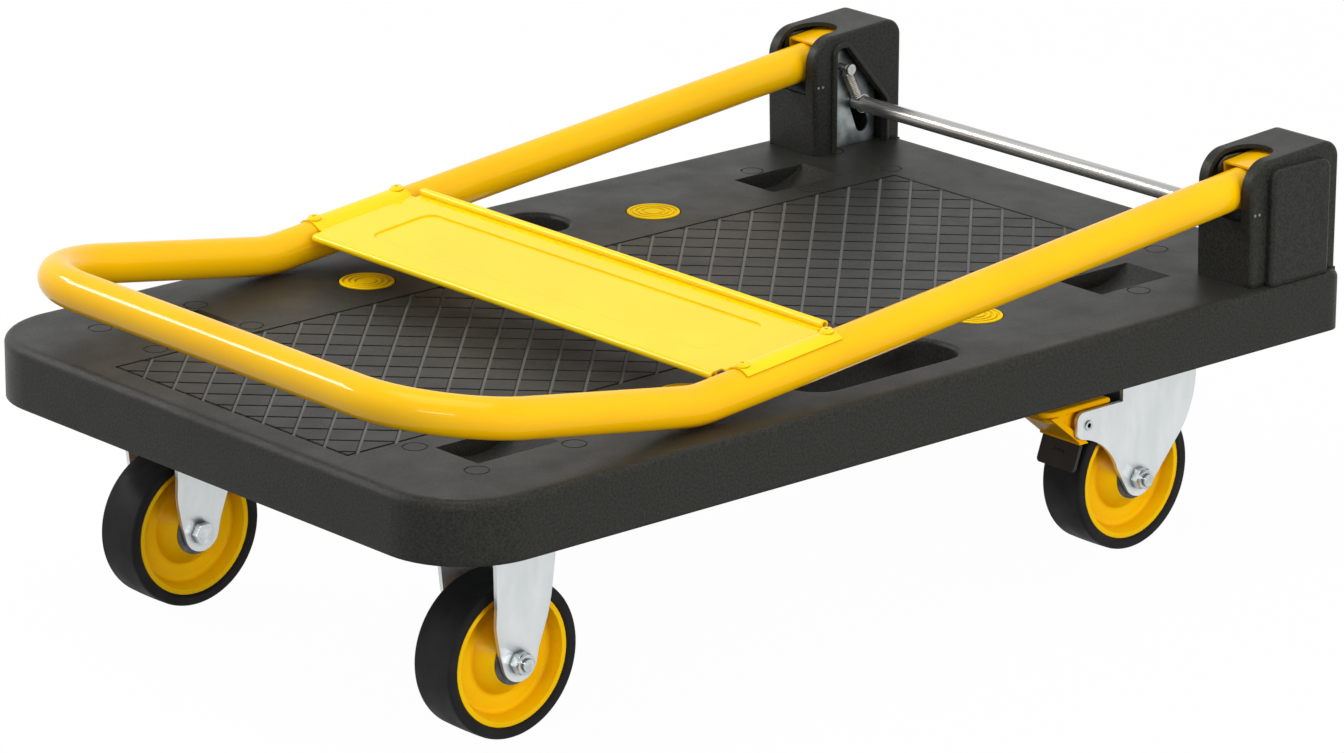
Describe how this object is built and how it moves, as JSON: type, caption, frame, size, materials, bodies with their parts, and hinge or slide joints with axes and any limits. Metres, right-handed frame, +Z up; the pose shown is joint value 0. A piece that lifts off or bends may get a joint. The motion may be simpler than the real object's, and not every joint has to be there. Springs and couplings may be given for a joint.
{
  "type": "folding platform trolley",
  "caption": "Flat moulded load platform on rigid and braked swivel casters, with a tube push handle that hinges in corner towers and folds flat over the deck.",
  "frame": {"origin": "on the floor, under the middle of the deck", "axes": "+X along the deck towards the hinge end, +Y to the right of a person pushing from that end, +Z up"},
  "size_m": [0.76, 0.48, 0.2695],
  "materials": {
    "deck_plastic": "matt, fine moulded texture",
    "yellow_paint": "gloss paint",
    "yellow_plastic": "smooth, glossy",
    "tyre_rubber": "matt",
    "zinc": "bright zinc plate",
    "bright_steel": "bright drawn",
    "black_plastic": "matt",
    "dark_steel": "dark oxide"
  },
  "bodies": {
    "deck_frame": {"deck": "deck_plastic", "deck_plugs": "yellow_plastic", "left_hinge_cover": "deck_plastic", "right_hinge_cover": "deck_plastic", "left_hinge_bracket": "zinc", "right_hinge_bracket": "zinc", "hinge_bracket_bolts": "zinc", "hinge_bracket_nuts": "zinc", "cover_screws": "zinc", "hinge_pins": "zinc", "spring_studs": "zinc", "left_return_spring": "bright_steel", "right_return_spring": "bright_steel", "front_left_fork": "zinc", "front_right_fork": "zinc", "front_axle_bolts": "zinc", "front_axle_nuts": "zinc", "front_axle_sleeves": "zinc", "rear_left_swivel_plate": "zinc", "rear_right_swivel_plate": "zinc", "caster_bolts": "zinc"},
    "handle": {"handle_tube": "yellow_paint", "cross_plate": "yellow_paint", "cross_plate_rivets": "bright_steel", "left_pivot_bracket": "yellow_paint", "right_pivot_bracket": "yellow_paint", "pivot_bushes": "zinc"},
    "rod": {"release_rod": "bright_steel", "release_rod_clips": "zinc"},
    "front_left_wheel": {"front_left_tyre": "tyre_rubber", "front_left_hub": "yellow_plastic", "front_left_hub_caps": "dark_steel"},
    "front_right_wheel": {"front_right_tyre": "tyre_rubber", "front_right_hub": "yellow_plastic", "front_right_hub_caps": "dark_steel"},
    "rear_left_wheel": {"rear_left_tyre": "tyre_rubber", "rear_left_hub": "yellow_plastic", "rear_left_hub_caps": "dark_steel"},
    "rear_right_wheel": {"rear_right_tyre": "tyre_rubber", "rear_right_hub": "yellow_plastic", "rear_right_hub_caps": "dark_steel"},
    "left_swivel": {"rear_left_swivel_fork": "zinc", "rear_left_king_pin": "zinc", "rear_left_swivel_balls": "bright_steel", "rear_left_axle_bolt": "zinc", "rear_left_axle_nut": "zinc", "rear_left_axle_sleeve": "zinc", "rear_left_pedal_pin": "zinc"},
    "left_brake": {"left_brake_pedal": "yellow_plastic", "left_brake_shoe": "black_plastic"},
    "right_swivel": {"rear_right_swivel_fork": "zinc", "rear_right_king_pin": "zinc", "rear_right_swivel_balls": "bright_steel", "rear_right_axle_bolt": "zinc", "rear_right_axle_nut": "zinc", "rear_right_axle_sleeve": "zinc", "rear_right_pedal_pin": "zinc"},
    "right_brake": {"right_brake_pedal": "yellow_plastic", "right_brake_shoe": "black_plastic"}
  },
  "joints": [
    {"name": "handle_fold", "type": "hinge", "parent": "deck_frame", "child": "handle", "pos_m": [0.32, 0, 0.24561], "axis": [0, 1, 0], "range_deg": [0, 96]},
    {"name": "release_press", "type": "slide", "parent": "deck_frame", "child": "rod", "axis": [0.3681, 0, -0.9298], "range_m": [0, 0.0185], "stiffness_N_per_m": 800, "springref_m": -0.012, "deforming": ["left_return_spring", "right_return_spring"]},
    {"name": "left_swivel_turn", "type": "hinge", "parent": "deck_frame", "child": "left_swivel", "pos_m": [0.28, -0.157, 0.1388], "axis": [0, 0, 1], "continuous": true},
    {"name": "left_brake_press", "type": "hinge", "parent": "left_swivel", "child": "left_brake", "pos_m": [0.2063, -0.157, 0.0967], "axis": [0, -1, 0], "range_deg": [0, 7]},
    {"name": "right_swivel_turn", "type": "hinge", "parent": "deck_frame", "child": "right_swivel", "pos_m": [0.28, 0.157, 0.1388], "axis": [0, 0, 1], "continuous": true},
    {"name": "right_brake_press", "type": "hinge", "parent": "right_swivel", "child": "right_brake", "pos_m": [0.2063, 0.157, 0.0967], "axis": [0, -1, 0], "range_deg": [0, 7]},
    {"name": "front_left_wheel_spin", "type": "hinge", "parent": "deck_frame", "child": "front_left_wheel", "pos_m": [-0.2782, -0.157, 0.0508], "axis": [0, 1, 0], "continuous": true},
    {"name": "rear_left_wheel_spin", "type": "hinge", "parent": "left_swivel", "child": "rear_left_wheel", "pos_m": [0.254, -0.157, 0.0508], "axis": [0, 1, 0], "continuous": true},
    {"name": "front_right_wheel_spin", "type": "hinge", "parent": "deck_frame", "child": "front_right_wheel", "pos_m": [-0.2782, 0.157, 0.0508], "axis": [0, 1, 0], "continuous": true},
    {"name": "rear_right_wheel_spin", "type": "hinge", "parent": "right_swivel", "child": "rear_right_wheel", "pos_m": [0.254, 0.157, 0.0508], "axis": [0, 1, 0], "continuous": true}
  ]
}
